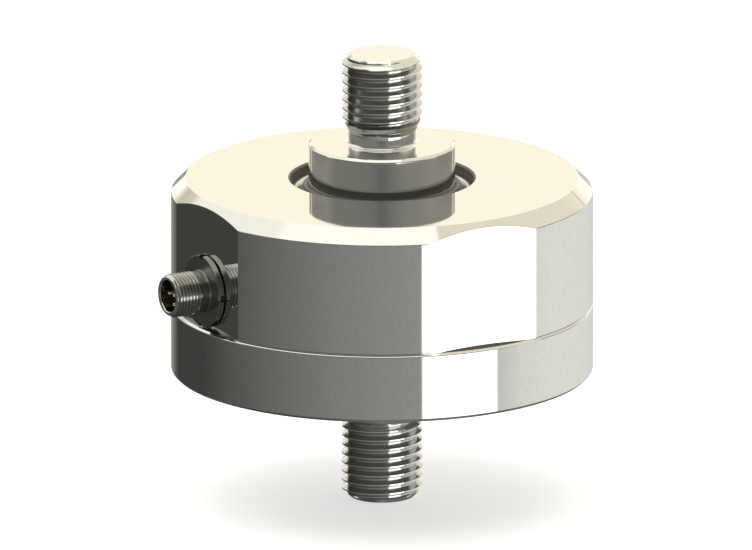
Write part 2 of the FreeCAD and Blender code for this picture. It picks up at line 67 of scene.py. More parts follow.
# %% [markdown]
# ## Sizes
# The pieces are drawn in millimetres, as on a workshop drawing, and brought to metres at the
# end. The values are those of the CAD model. The origin is the middle of the lower seat,
# the load axis is Z, and the connector looks along -X.

# %% Sizes of the body
MM = 0.001
BODY_RADIUS = 57.5
FLAT_RADIUS = 55.0
CAVITY_RADIUS = 48.0
SEAT_RADIUS = 20.0
OPENING_RADIUS = 25.0
LEDGE_RADIUS = 23.5
SHOULDER_RADIUS = 21.1
BASE_BOTTOM = 10.5
SEAM = 29.5
SPIGOT_TOP = 34.5
SPRING_SEAT = 33.5
ROOF = 57.5
TOP_FACE = 64.5
LEDGE = TOP_FACE - 3.0  # carries the outer rim of the diaphragm
SHOULDER = TOP_FACE - 1.9  # carries its inner rim
COLLAR_TOP = 74.5
TOP_CHAMFER = 4.0
SEAM_CHAMFER = 0.25
BASE_EDGE = 0.6
SEAT_CHAMFER = 0.7
INNER_ROUND = 2.0
RING_OUTER = 41.0
RING_INNER = 31.0
RING_MIDDLE = 36.0
RING_TOP = 47.0
HUB_RADIUS = 13.0
WALL_MIDDLE = 52.75
print("body", 2 * BODY_RADIUS, "mm across,", TOP_FACE - BASE_BOTTOM, "mm high")

# %% Sizes of the studs and the connector
STUD_RADIUS = 11.0
STUD_PITCH = 2.5
STUD_LENGTH = 25.0
STUD_END_CHAMFER = 2.2
NECK_UNDERCUT = 0.27
UPPER_NECK = 3.4
UPPER_RUN_OUT = 0.45  # slope of the cone in which the upper thread fades into its neck
UPPER_THREAD_TURN = 117  # degrees, brings the thread's end to the front
LOWER_NECK = 2.5
FOOT_ROUND = 1.0
CONNECTOR_LEVEL = 39.95
FLANGE_RADIUS = 10.0
FLANGE_BACK = 0.3
FLANGE_FRONT = 2.0
BAND_RADIUS = 5.75
BAND_FRONT = 3.6
NOSE_TIP = 12.5
NOSE_RADIUS = 6.0
NOSE_PITCH = 1.0
NOSE_END_CHAMFER = 0.8
NOSE_BORE = 4.3
STEM_RADIUS = 7.0
STEM_END = -6.5
print("stud", 2 * STUD_RADIUS, "x", STUD_PITCH, "mm, nose", 2 * NOSE_RADIUS, "x", NOSE_PITCH, "mm")

# %% [markdown]
# ## How a turned part is made
# Most of this sensor comes off a lathe, so most pieces are half of a cross section that is spun
# round the load axis. The section is a chain of a few vertices. Rounded corners are vertex
# bevels, and a sharp corner gets a tiny one too: a real edge is always broken a little,
# and that thin line of light is what makes steel look solid.

# %% Draw and spin a section
TURN_STEPS = 192  # segments round the axis
ROUND_STEPS = 5  # segments in a rounded corner
EDGE_BREAK = 0.1  # width of a broken edge, in mm
WELD = 0.0005  # vertices closer than this are one, in mm


def bevel_corner(bm, vert, offset, segments):
    bmesh.ops.bevel(
        bm, geom=[vert], offset=offset, offset_type="OFFSET", segments=segments,
        profile=0.5, affect="VERTICES", material=-1,
    )


def draw_section(corners, closed=True):
    """Chain of (radius, height) corners in the XZ plane. A third number is a corner's rounding."""
    bm = bmesh.new()
    verts = [bm.verts.new((corner[0], 0, corner[1])) for corner in corners]
    for here, ahead in zip(verts, verts[1:]):
        bm.edges.new((here, ahead))
    if closed:
        bm.edges.new((verts[-1], verts[0]))
    for vert, corner in zip(verts, corners):
        if len(vert.link_edges) < 2 or corner[0] == 0:
            continue
        if len(corner) == 3:
            bevel_corner(bm, vert, corner[2], ROUND_STEPS)
        else:
            bevel_corner(bm, vert, EDGE_BREAK, 1)
    return bm


def spin_section(bm, steps=TURN_STEPS):
    """Full turn of everything in the bmesh round Z."""
    bmesh.ops.spin(
        bm, geom=bm.verts[:] + bm.edges[:], cent=(0, 0, 0), axis=(0, 0, 1),
        angle=math.tau, steps=steps, use_merge=True, use_normal_flip=False, use_duplicate=False,
    )
    bmesh.ops.remove_doubles(bm, verts=bm.verts[:], dist=WELD)
    return bm


test_ring = spin_section(draw_section([(2, 0), (3, 0), (3, 1), (2, 1)]))
print("a spun square has", len(test_ring.faces), "faces")
test_ring.free()

# %% [markdown]
# ## How a thread is made
# A thread is a lathe cut as well, but the tool travels along the axis while the part turns. Spin
# does the same when it is given a step along the axis: one pitch of the thread form, turned
# many times, grows into a screw. Neighbouring turns share their border, so welding them
# gives one skin. At both ends the thread runs into a cone, so each vertex that stands
# out of the cone is brought back to it, and the spare turns beyond are cut off square.

# %% Spin a thread
THREAD_STEPS = 96  # segments in one turn of a thread
DEPTH_SHARE = 0.61343  # depth of a metric thread, as a share of its pitch
CREST_SHARE = 0.125
FLANK_RISE = DEPTH_SHARE * math.tan(math.radians(30))  # height of a flank, as a share of the pitch
FLANK_CUTS = 2
SPARE_TURNS = 2  # turned beyond each end, and cut off


def root_radius(radius, pitch):
    return radius - DEPTH_SHARE * pitch


def border_loop(bm, level):
    """Edges with one face that lie at a level."""
    return [
        edge for edge in bm.edges
        if edge.is_boundary and all(abs(vert.co.z - level) < WELD for vert in edge.verts)
    ]


def thread_skin(radius, pitch, neck_radius, low, high, end_chamfer, start_slope=1.0):
    """Open skin of a right-hand thread between two levels, that starts at a neck's radius."""
    root = root_radius(radius, pitch)
    half_root = pitch * (1 - CREST_SHARE) / 2 - FLANK_RISE * pitch
    start = low - SPARE_TURNS * pitch
    bm = bmesh.new()
    heights = [
        (root, 0), (root, half_root), (radius, half_root + FLANK_RISE * pitch),
        (radius, pitch - half_root - FLANK_RISE * pitch), (root, pitch - half_root), (root, pitch),
    ]
    verts = [bm.verts.new((x, 0, start + z)) for x, z in heights]
    chain = [bm.edges.new(pair) for pair in zip(verts, verts[1:])]
    bmesh.ops.subdivide_edges(bm, edges=[chain[1], chain[3]], cuts=FLANK_CUTS)
    turns = math.ceil((high - low) / pitch) + 2 * SPARE_TURNS
    bmesh.ops.spin(
        bm, geom=bm.verts[:] + bm.edges[:], cent=(0, 0, 0), axis=(0, 0, 1),
        dvec=(0, 0, pitch / THREAD_STEPS), angle=math.tau * turns, steps=THREAD_STEPS * turns,
        use_merge=False, use_normal_flip=False, use_duplicate=False,
    )
    bmesh.ops.remove_doubles(bm, verts=bm.verts[:], dist=WELD)
    for vert in bm.verts:
        reach = vert.co.xy.length
        start_cone = neck_radius + start_slope * max(0, vert.co.z - low)
        end_cone = radius - end_chamfer + max(0, high - vert.co.z)
        vert.co.xy *= min(1, start_cone / reach, end_cone / reach)
    for level, side in ((low, "clear_inner"), (high, "clear_outer")):
        bmesh.ops.bisect_plane(
            bm, geom=bm.verts[:] + bm.edges[:] + bm.faces[:], dist=WELD / 10,
            plane_co=(0, 0, level), plane_no=(0, 0, 1), **{side: True},
        )
    for level, end_radius in ((low, neck_radius), (high, radius - end_chamfer)):
        for vert in dict.fromkeys(vert for edge in border_loop(bm, level) for vert in edge.verts):
            vert.co.xy *= end_radius / vert.co.xy.length
    return bm


print("a stud's thread is", round(DEPTH_SHARE * STUD_PITCH, 2), "mm deep")

# %% [markdown]
# ## Joining, cutting and finishing
# A thread and the turned part that carries it meet in two circles with different numbers of
# vertices, one inside the other in one plane. Triangle fill closes the narrow ring between them.
# Holes are drilled with the Boolean modifier, because its cutters are simple drills and blocks.
# A finished piece rides on the sensor's one body, replaces its CAD node and keeps its place in
# its mesh. Weighted normals keep large faces truly flat in reflections beside narrow edge breaks.

# %% Join, cut and finish
SHARP_ANGLE = math.radians(21)


def take_in(bm, other):
    """Adds the other bmesh to the first one."""
    mesh = bpy.data.meshes.new("part")
    other.to_mesh(mesh)
    other.free()
    bm.from_mesh(mesh)
    bpy.data.meshes.remove(mesh)
    return bm


def fill_ring(bm, level):
    """Fills the flat ring between the two open circles at a level."""
    bmesh.ops.triangle_fill(
        bm, edges=border_loop(bm, level), use_beauty=True, use_dissolve=False, normal=(0, 0, 1)
    )


def new_object(bm, name):
    mesh = bpy.data.meshes.new(name)
    bm.to_mesh(mesh)
    bm.free()
    thing = bpy.data.objects.new(name, mesh)
    bpy.context.scene.collection.objects.link(thing)
    return thing


def cut_away(bm, cutter):
    """What is left of the first bmesh when the second one is taken out of it."""
    bmesh.ops.recalc_face_normals(bm, faces=bm.faces[:])
    bmesh.ops.recalc_face_normals(cutter, faces=cutter.faces[:])
    part = new_object(bm, "uncut")
    tool = new_object(cutter, "cutter")
    cut = part.modifiers.new("cut", "BOOLEAN")
    cut.operation = "DIFFERENCE"
    cut.solver = "EXACT"
    cut.object = tool
    result = bmesh.new()
    result.from_object(part, bpy.context.evaluated_depsgraph_get())
    for thing in (part, tool):
        mesh = thing.data
        bpy.data.objects.remove(thing)
        bpy.data.meshes.remove(mesh)
    return result


def finish_piece(bm, name, node):
    """Object in metres that stands for a CAD node, which it hides."""
    bmesh.ops.remove_doubles(bm, verts=bm.verts[:], dist=WELD)
    bmesh.ops.recalc_face_normals(bm, faces=bm.faces[:])
    bmesh.ops.scale(bm, vec=(MM, MM, MM), verts=bm.verts[:])
    loose = sum(not edge.is_manifold for edge in bm.edges)
    faces = len(bm.faces)
    thing = new_object(bm, name)
    thing.data.shade_smooth()
    thing.data.set_sharp_from_angle(angle=SHARP_ANGLE)
    weighted = thing.modifiers.new("weighted normals", "WEIGHTED_NORMAL")
    weighted.keep_sharp = True
    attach(thing, "root")
    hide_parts(node)
    size = [round(1000 * side, 2) for side in thing.dimensions]
    print(name, "has", faces, "faces,", loose, "open edges, size", size)
    return thing


print("edges sharper than", round(math.degrees(SHARP_ANGLE)), "degrees stay sharp")

# %% [markdown]
# ## The cutters
# Screws under the base sit in counterbores, which show when the sensor is turned over. A stepped
# drill is a small turned shape, made like any other section. One drill is moved out to its
# circle, copied and turned, and the whole circle of holes is cut at once. A hole's radius is
# its own, a little wider than the screw or pin in it.

# %% Drill shapes
HOLE_STEPS = 48
BLANK_ANGLE = 45  # screws of the housing stand between the flats
DRILL_START = 0.3  # a drill starts this far outside the part
SMALL_TAP = 1.55
SPRING_SCREW_HOLE = 3.3
SPRING_SCREW_BORE = 5.3
SPRING_BORE_DEPTH = 7
SPRING_TAP = 3.05
HOUSING_SCREW_HOLE = 1.8
HOUSING_SCREW_BORE = 3.05
HOUSING_BORE_DEPTH = 4
DOWEL_HOLE = 2.05
DOWEL_DEPTH = 5.05


def drill(steps):
    """Closed cutter on the Z axis. Each step is (radius, low, high), from the bottom up."""
    corners = [(0, steps[0][1])]
    for radius, low, high in steps:
        corners += [(radius, low), (radius, high)]
    corners.append((0, steps[-1][2]))
    bm = bmesh.new()
    verts = [bm.verts.new((radius, 0, height)) for radius, height in corners]
    for here, ahead in zip(verts, verts[1:]):
        bm.edges.new((here, ahead))
    return spin_section(bm, HOLE_STEPS)


def circle_of(bm, circle, count, first=0.0):
    """Copies of a cutter on a circle round the axis, the first at an angle in degrees."""
    bmesh.ops.translate(bm, vec=(circle, 0, 0), verts=bm.verts[:])
    bmesh.ops.rotate(bm, matrix=Matrix.Rotation(math.radians(first), 3, "Z"), verts=bm.verts[:])
    one = bm.verts[:] + bm.edges[:] + bm.faces[:]
    for i in range(1, count):
        copy = bmesh.ops.duplicate(bm, geom=one)["geom"]
        verts = [part for part in copy if isinstance(part, bmesh.types.BMVert)]
        bmesh.ops.rotate(bm, matrix=Matrix.Rotation(math.tau * i / count, 3, "Z"), verts=verts)
    return bm


print("counterbores", 2 * SPRING_SCREW_BORE, "and", 2 * HOUSING_SCREW_BORE, "mm wide")

# %% [markdown]
# ## The housing
# The upper half of the body is a thick bell with a wide opening for the collar. It is turned, and
# then four flats are milled on it for a wrench. A milled flat is a plane that takes away all
# that lies outside it, which is what bisect plane does. The new face is filled, and its border is
# broken like the turned edges, so the flats keep their crisp arched top.

# %% Turn and mill the housing
FLAT_COUNT = 4
FLAT_CORNERS = 20  # only a milled flat has more corners than this
HOUSING_SCREW_TIP = 39.0
CAVITY_CHAMFER = 0.4
OPENING_CHAMFER = 0.5
STEM_PLAY = 0.05
WALL_INSIDE = -12  # the drill for the stem runs from here, inside the wall,
WALL_OUTSIDE = 4  # to here


def lay_on_flat(bm):
    """Turns what stands on the level 0 so that it stands on the flat that faces -X."""
    bmesh.ops.rotate(bm, matrix=Matrix.Rotation(math.radians(-90), 3, "Y"), verts=bm.verts[:])
    bmesh.ops.translate(bm, vec=(-FLAT_RADIUS, 0, CONNECTOR_LEVEL), verts=bm.verts[:])
    return bm


housing = spin_section(draw_section([
    (CAVITY_RADIUS + CAVITY_CHAMFER, SEAM),
    (BODY_RADIUS - SEAM_CHAMFER, SEAM), (BODY_RADIUS, SEAM + SEAM_CHAMFER),
    (BODY_RADIUS, TOP_FACE - TOP_CHAMFER), (BODY_RADIUS - TOP_CHAMFER, TOP_FACE),
    (OPENING_RADIUS + OPENING_CHAMFER, TOP_FACE), (OPENING_RADIUS, TOP_FACE - OPENING_CHAMFER),
    (OPENING_RADIUS, LEDGE), (LEDGE_RADIUS, LEDGE), (LEDGE_RADIUS, ROOF),
    (CAVITY_RADIUS, ROOF, INNER_ROUND), (CAVITY_RADIUS, SEAM + CAVITY_CHAMFER),
]))
for i in range(FLAT_COUNT):
    outward = Matrix.Rotation(math.tau * i / FLAT_COUNT, 3, "Z") @ Vector((1, 0, 0))
    milled = bmesh.ops.bisect_plane(
        housing, geom=housing.verts[:] + housing.edges[:] + housing.faces[:], dist=WELD / 10,
        plane_co=outward * FLAT_RADIUS, plane_no=outward, clear_outer=True,
    )
    border = [part for part in milled["geom_cut"] if isinstance(part, bmesh.types.BMEdge)]
    bmesh.ops.edgeloop_fill(housing, edges=border)
bmesh.ops.recalc_face_normals(housing, faces=housing.faces[:])
flats = [face for face in housing.faces if len(face.verts) > FLAT_CORNERS]
borders = list(dict.fromkeys(edge for face in flats for edge in face.edges))
bmesh.ops.bevel(
    housing, geom=borders, offset=EDGE_BREAK, offset_type="OFFSET", segments=1,
    profile=0.5, affect="EDGES", material=-1, clamp_overlap=True,
)
screw_hole = drill([(SMALL_TAP, SEAM - DRILL_START, HOUSING_SCREW_TIP)])
screw_holes = circle_of(screw_hole, WALL_MIDDLE, FLAT_COUNT, BLANK_ANGLE)
stem_hole = lay_on_flat(drill([(STEM_RADIUS + STEM_PLAY, WALL_INSIDE, WALL_OUTSIDE)]))
housing = cut_away(housing, take_in(screw_holes, stem_hole))
housing_body = finish_piece(housing, "housing_body", "housing")

# %% [markdown]
# ## A load stud
# Both studs are the same tool's work: a thread with a wide end chamfer, and under it a plain neck
# that swells into the seat in a small fillet. The neck grows from the thread's open circle by
# extruding that circle ring by ring down the fillet, and the flat end is one filled face.
# The upper thread fades in a shallower cone and is turned, so that its end shows at the front.

# %% Build a stud
NECK_RADIUS = root_radius(STUD_RADIUS, STUD_PITCH) - NECK_UNDERCUT
FOOT_RADIUS = NECK_RADIUS + FOOT_ROUND
FILLET_STEPS = 8


def grow_rings(bm, edges, rings):
    """Extrudes an open circle through (radius, height) rings."""
    for radius, height in rings:
        grown = bmesh.ops.extrude_edge_only(bm, edges=edges)["geom"]
        for vert in (part for part in grown if isinstance(part, bmesh.types.BMVert)):
            vert.co.z = height
            vert.co.xy *= radius / vert.co.xy.length
        edges = [part for part in grown if isinstance(part, bmesh.types.BMEdge) and part.is_boundary]


def make_stud(neck_length, thread_turn=0, start_slope=1.0):
    """Stud on the level 0, open at its foot. The thread is turned by an angle in degrees."""
    bm = thread_skin(
        STUD_RADIUS, STUD_PITCH, NECK_RADIUS, neck_length, STUD_LENGTH, STUD_END_CHAMFER, start_slope
    )
    turn = Matrix.Rotation(math.radians(thread_turn), 3, "Z")
    bmesh.ops.rotate(bm, matrix=turn, verts=bm.verts[:])
    bmesh.ops.edgeloop_fill(bm, edges=border_loop(bm, STUD_LENGTH))
    rings = []
    for i in range(FILLET_STEPS + 1):
        angle = math.pi / 2 * i / FILLET_STEPS
        rings.append((FOOT_RADIUS - FOOT_ROUND * math.cos(angle), FOOT_ROUND * (1 - math.sin(angle))))
    grow_rings(bm, border_loop(bm, neck_length), rings)
    return bm


print("neck", round(2 * NECK_RADIUS, 2), "mm, foot", round(2 * FOOT_RADIUS, 2), "mm")

# %% [markdown]
# ## The base
# Disc, boss and lower stud are one piece. The stud is built standing up and turned over about X,
# which keeps it a right-hand thread. On the underside there are two circles of counterbores: eight
# for the screws of the spring element and four for those of the housing.

# %% Turn the base and drill it
SEAT_GAP = 0.3  # from the foot of a stud to the turned face round it
SPRING_SCREWS = 8
SPRING_SCREW_ANGLE = 22.5
DOWELS = 2
BOTTOM_CHAMFER = 0.8
SPIGOT_RADIUS = CAVITY_RADIUS - 0.1
SPIGOT_CHAMFER = 0.4
SEAL_GROOVE_RADIUS = CAVITY_RADIUS - 1.5
SEAL_GROOVE_LOW = SEAM + 1.5
SEAL_GROOVE_HIGH = SEAM + 3.9
RECESS_RADIUS = RING_OUTER + 0.05

base = spin_section(draw_section([
    (FOOT_RADIUS + SEAT_GAP, 0), (SEAT_RADIUS - SEAT_CHAMFER, 0), (SEAT_RADIUS, SEAT_CHAMFER),
    (SEAT_RADIUS, BASE_BOTTOM),
    (BODY_RADIUS - BOTTOM_CHAMFER, BASE_BOTTOM), (BODY_RADIUS, BASE_BOTTOM + BOTTOM_CHAMFER),
    (BODY_RADIUS, SEAM - BASE_EDGE), (BODY_RADIUS - BASE_EDGE, SEAM),
    (SPIGOT_RADIUS, SEAM), (SPIGOT_RADIUS, SEAL_GROOVE_LOW), (SEAL_GROOVE_RADIUS, SEAL_GROOVE_LOW),
    (SEAL_GROOVE_RADIUS, SEAL_GROOVE_HIGH), (SPIGOT_RADIUS, SEAL_GROOVE_HIGH),
    (SPIGOT_RADIUS, SPIGOT_TOP - SPIGOT_CHAMFER), (SPIGOT_RADIUS - SPIGOT_CHAMFER, SPIGOT_TOP),
    (RECESS_RADIUS, SPIGOT_TOP), (RECESS_RADIUS, SPRING_SEAT), (0, SPRING_SEAT),
], closed=False))
lower_stud = make_stud(LOWER_NECK)
bmesh.ops.rotate(lower_stud, matrix=Matrix.Rotation(math.pi, 3, "X"), verts=lower_stud.verts[:])
base = take_in(base, lower_stud)
fill_ring(base, 0)
below = BASE_BOTTOM - DRILL_START
spring_bore_end = BASE_BOTTOM + SPRING_BORE_DEPTH
housing_bore_end = BASE_BOTTOM + HOUSING_BORE_DEPTH
spring_hole = drill([
    (SPRING_SCREW_BORE, below, spring_bore_end), (SPRING_SCREW_HOLE, spring_bore_end, SPIGOT_TOP),
])
housing_hole = drill([
    (HOUSING_SCREW_BORE, below, housing_bore_end), (HOUSING_SCREW_HOLE, housing_bore_end, SPIGOT_TOP),
])
dowel_hole = drill([(DOWEL_HOLE, SPRING_SEAT - DOWEL_DEPTH, SPIGOT_TOP)])
holes = circle_of(spring_hole, RING_MIDDLE, SPRING_SCREWS, SPRING_SCREW_ANGLE)
holes = take_in(holes, circle_of(housing_hole, WALL_MIDDLE, FLAT_COUNT, BLANK_ANGLE))
base = cut_away(base, take_in(holes, circle_of(dowel_hole, RING_MIDDLE, DOWELS)))
base_body = finish_piece(base, "base_body", "base")

# %% [markdown]
# ## The spring element
# This is the part that measures: a hub and a ring with a thin web between them. Only its collar
# and its stud come out of the housing, but the whole part is turned in one, as the real one is.

# %% Turn the spring element
SHOULDER_FOOT = 58.6
HUB_TOP = 50.5
WEB_TOP = 43.0
WEB_BOTTOM = 39.0
RING_CHAMFER = 0.4
HUB_BOTTOM = SPRING_SEAT + 0.5
SPRING_TAP_END = 45
BOARD_TAP_END = 40.5

spring = spin_section(draw_section([
    (FOOT_RADIUS + SEAT_GAP, COLLAR_TOP), (SEAT_RADIUS - SEAT_CHAMFER, COLLAR_TOP),
    (SEAT_RADIUS, COLLAR_TOP - SEAT_CHAMFER), (SEAT_RADIUS, SHOULDER), (SHOULDER_RADIUS, SHOULDER),
    (SHOULDER_RADIUS, SHOULDER_FOOT), (HUB_RADIUS, HUB_TOP), (HUB_RADIUS, WEB_TOP, INNER_ROUND),
    (RING_INNER, WEB_TOP, INNER_ROUND), (RING_INNER, RING_TOP),
    (RING_OUTER - RING_CHAMFER, RING_TOP), (RING_OUTER, RING_TOP - RING_CHAMFER),
    (RING_OUTER, SPRING_SEAT + RING_CHAMFER), (RING_OUTER - RING_CHAMFER, SPRING_SEAT),
    (RING_INNER, SPRING_SEAT), (RING_INNER, WEB_BOTTOM, INNER_ROUND),
    (HUB_RADIUS, WEB_BOTTOM, INNER_ROUND), (HUB_RADIUS, HUB_BOTTOM), (0, HUB_BOTTOM),
], closed=False))
upper_stud = make_stud(UPPER_NECK, UPPER_THREAD_TURN, UPPER_RUN_OUT)
bmesh.ops.translate(upper_stud, vec=(0, 0, COLLAR_TOP), verts=upper_stud.verts[:])
spring = take_in(spring, upper_stud)
fill_ring(spring, COLLAR_TOP)
below = SPRING_SEAT - DRILL_START
spring_hole = drill([(SPRING_TAP, below, SPRING_TAP_END)])
dowel_hole = drill([(DOWEL_HOLE, below, SPRING_SEAT + DOWEL_DEPTH)])
board_hole = drill([(SMALL_TAP, BOARD_TAP_END, RING_TOP + DRILL_START)])
holes = circle_of(spring_hole, RING_MIDDLE, SPRING_SCREWS, SPRING_SCREW_ANGLE)
holes = take_in(holes, circle_of(dowel_hole, RING_MIDDLE, DOWELS))
spring = cut_away(spring, take_in(holes, circle_of(board_hole, RING_MIDDLE, FLAT_COUNT, BLANK_ANGLE)))
spring_body = finish_piece(spring, "spring_body", "spring_element")

# %% [markdown]
# ## The sealing diaphragm
# A sheet of spring steel, 0.3 mm thick, closes the slot beside the collar. Its rims lie on the
# collar's shoulder and on the housing's ledge, and the trough between them lets the collar move.
# The trough's outer wall slopes, so it mirrors the sky. The drawn chain is the middle line of
# the sheet. It is spun, and the Solidify modifier gives it its thickness on both sides.

# %% Spin the diaphragm
SHEET = 0.3
RIM_PLAY = 0.05
BEND = 0.35
TROUGH_LEVEL = 60.05
TROUGH_INNER = 21.6
TROUGH_OUTER = 21.8
INNER_WALL_TOP = 21.4
OUTER_WALL_TOP = 23.35
inner_rim = SHOULDER + SHEET / 2
outer_rim = LEDGE + SHEET / 2

sheet = spin_section(draw_section([
    (SEAT_RADIUS + RIM_PLAY, inner_rim), (INNER_WALL_TOP, inner_rim, BEND),
    (TROUGH_INNER, TROUGH_LEVEL, BEND), (TROUGH_OUTER, TROUGH_LEVEL, BEND),
    (OUTER_WALL_TOP, outer_rim, BEND), (OPENING_RADIUS - RIM_PLAY, outer_rim),
], closed=False))
diaphragm = finish_piece(sheet, "diaphragm_ring", "sealing_diaphragm")
wall = diaphragm.modifiers.new("wall", "SOLIDIFY")
wall.thickness = SHEET * MM
wall.offset = 0

# %% [markdown]
# ## The connector
# The connector is turned too: a stem in the wall, a flange with four notches for a pin wrench, a
# plain band, and a nose with a fine thread. It is built standing up, with the flat at height 0,
# and laid on its side at the end. The nose is a tube, so its thread meets the turned part
# at two places, at its root and at its lip.

# %% Turn the connector
NOTCHES = 4
NOTCH_SIZE = (1.8, 1.9, 3.4)
NOTCH_LEVEL = 1.85
NOSE_RELIEF = root_radius(NOSE_RADIUS, NOSE_PITCH) - 0.09
THREAD_START = 4.3
RELIEF_STEP = 0.05  # the plain relief is this much lower than the start of the thread
BAND_ROUND = 0.4
RIM_BREAK = 0.15
MOUTH_CHAMFER = 0.25
SEAL_OUTER = 9.15
SEAL_INNER = 7.65
SEAL_ROOF = 1.0

shell = spin_section(draw_section([
    (NOSE_RELIEF - RELIEF_STEP, THREAD_START), (NOSE_RELIEF - RELIEF_STEP, BAND_FRONT),
    (BAND_RADIUS, BAND_FRONT), (BAND_RADIUS, FLANGE_FRONT, BAND_ROUND),
    (FLANGE_RADIUS - RIM_BREAK, FLANGE_FRONT), (FLANGE_RADIUS, FLANGE_FRONT - RIM_BREAK),
    (FLANGE_RADIUS, FLANGE_BACK + RIM_BREAK), (FLANGE_RADIUS - RIM_BREAK, FLANGE_BACK),
    (SEAL_OUTER, FLANGE_BACK), (SEAL_OUTER, SEAL_ROOF), (SEAL_INNER, SEAL_ROOF),
    (SEAL_INNER, FLANGE_BACK), (STEM_RADIUS, FLANGE_BACK), (STEM_RADIUS, STEM_END),
    (NOSE_BORE, STEM_END), (NOSE_BORE, NOSE_TIP - MOUTH_CHAMFER), (NOSE_BORE + MOUTH_CHAMFER, NOSE_TIP),
], closed=False))
nose = thread_skin(
    NOSE_RADIUS, NOSE_PITCH, NOSE_RELIEF, THREAD_START, NOSE_TIP, NOSE_END_CHAMFER
)
shell = take_in(shell, nose)
fill_ring(shell, NOSE_TIP)
fill_ring(shell, THREAD_START)
notch = bmesh.new()
bmesh.ops.create_cube(notch, size=1, matrix=Matrix.Diagonal((*NOTCH_SIZE, 1)))
bmesh.ops.translate(notch, vec=(0, 0, NOTCH_LEVEL), verts=notch.verts[:])
shell = lay_on_flat(cut_away(shell, circle_of(notch, FLANGE_RADIUS, NOTCHES)))
connector_body = finish_piece(shell, "connector_body", "connector_shell")

# %% [markdown]
# ## How a finish is made
# Every finish is a node material on Object coordinates, which are metres in the sensor's own
# frame, so its grain has a real size and runs on from piece to piece. A metal's finish is
# mostly in what it mirrors. What the material adds is small: tool marks in the bump, and
# roughness and tone that change a little from place to place.

# %% Node helpers
TOOL_MARK = 1.2e-7  # depth of tool marks, in metres


def tone(red, green, blue):
    """Linear colour of a tone as it is read off a screen, from 0 to 255."""
    def linear(value):
        share = value / 255
        return share / 12.92 if share <= 0.04045 else ((share + 0.055) / 1.055) ** 2.4
    return (linear(red), linear(green), linear(blue), 1)


class Finish:
    """A material that is built up node by node."""

    def __init__(self, name):
        self.material = bpy.data.materials.new(name)
        self.material.use_nodes = True
        self.tree = self.material.node_tree
        self.shader = self.tree.nodes["Principled BSDF"]
        self.place = self.add("ShaderNodeTexCoord").outputs["Object"]

    def add(self, kind, **settings):
        node = self.tree.nodes.new(kind)
        for name, value in settings.items():
            setattr(node, name, value)
        return node

    def link(self, output, target):
        self.tree.links.new(output, target)

    def noise(self, scale, stretch=(1, 1, 1), detail=3.0, place=None):
        """Noise whose grains are about 1 / scale metres wide, drawn out along an axis."""
        mapping = self.add("ShaderNodeMapping")
        mapping.inputs["Scale"].default_value = stretch
        texture = self.add("ShaderNodeTexNoise")
        texture.inputs["Scale"].default_value = scale
        texture.inputs["Detail"].default_value = detail
        self.link(place or self.place, mapping.inputs["Vector"])
        self.link(mapping.outputs["Vector"], texture.inputs["Vector"])
        return texture.outputs["Fac"]

    def spread(self, value, low, high, start=0.3, end=0.7):
        """Brings a value to the range from low to high."""
        node = self.add("ShaderNodeMapRange")
        for name, number in (("From Min", start), ("From Max", end), ("To Min", low), ("To Max", high)):
            node.inputs[name].default_value = number
        self.link(value, node.inputs["Value"])
        return node.outputs["Result"]

    def mix(self, factor, first, second):
        """Mixes two colours by a value."""
        node = self.add("ShaderNodeMix", data_type="RGBA")
        self.link(factor, node.inputs["Factor"])
        node.inputs["A"].default_value = first
        node.inputs["B"].default_value = second
        return node.outputs["Result"]

    def relief(self, height, depth):
        """Bump from a height value. The depth is in metres."""
        node = self.add("ShaderNodeBump")
        node.inputs["Distance"].default_value = depth
        self.link(height, node.inputs["Height"])
        self.link(node.outputs["Normal"], self.shader.inputs["Normal"])


def use(material, *things):
    for thing in things:
        thing.data.materials.clear()
        thing.data.materials.append(material)


print("a mid grey of 128 is", round(tone(128, 128, 128)[0], 3), "in linear light")

# %% [markdown]
# ## Steel
# The steel is ground and polished. On upright faces the grain runs up and down, so the noise
# is drawn out along Z. On faces that look up or down the marks are rings, as a lathe
# leaves them, made from the distance to the axis. The face's own normal chooses between them.

# %% Polished steel
UP_GRAIN = (1, 1, 0.3)
GRAIN_SCALE = 1600
RING_SCALE = 2500
CLOUD_SCALE = 35


def lathe_rings(finish):
    """Noise that changes with the distance to the load axis alone."""
    flat_place = finish.add("ShaderNodeVectorMath", operation="MULTIPLY")
    flat_place.inputs[1].default_value = (1, 1, 0)
    finish.link(finish.place, flat_place.inputs[0])
    distance = finish.add("ShaderNodeVectorMath", operation="LENGTH")
    finish.link(flat_place.outputs["Vector"], distance.inputs[0])
    ring_place = finish.add("ShaderNodeCombineXYZ")
    finish.link(distance.outputs["Value"], ring_place.inputs["X"])
    return finish.noise(RING_SCALE, detail=2, place=ring_place.outputs["Vector"])


def levelness(finish):
    """From 0 on upright faces to 1 on faces that look up or down."""
    facing = finish.add("ShaderNodeSeparateXYZ")
    finish.link(finish.add("ShaderNodeTexCoord").outputs["Normal"], facing.inputs["Vector"])
    level = finish.add("ShaderNodeMath", operation="ABSOLUTE")
    finish.link(facing.outputs["Z"], level.inputs[0])
    return finish.spread(level.outputs["Value"], 0, 1, start=0.3, end=0.9)


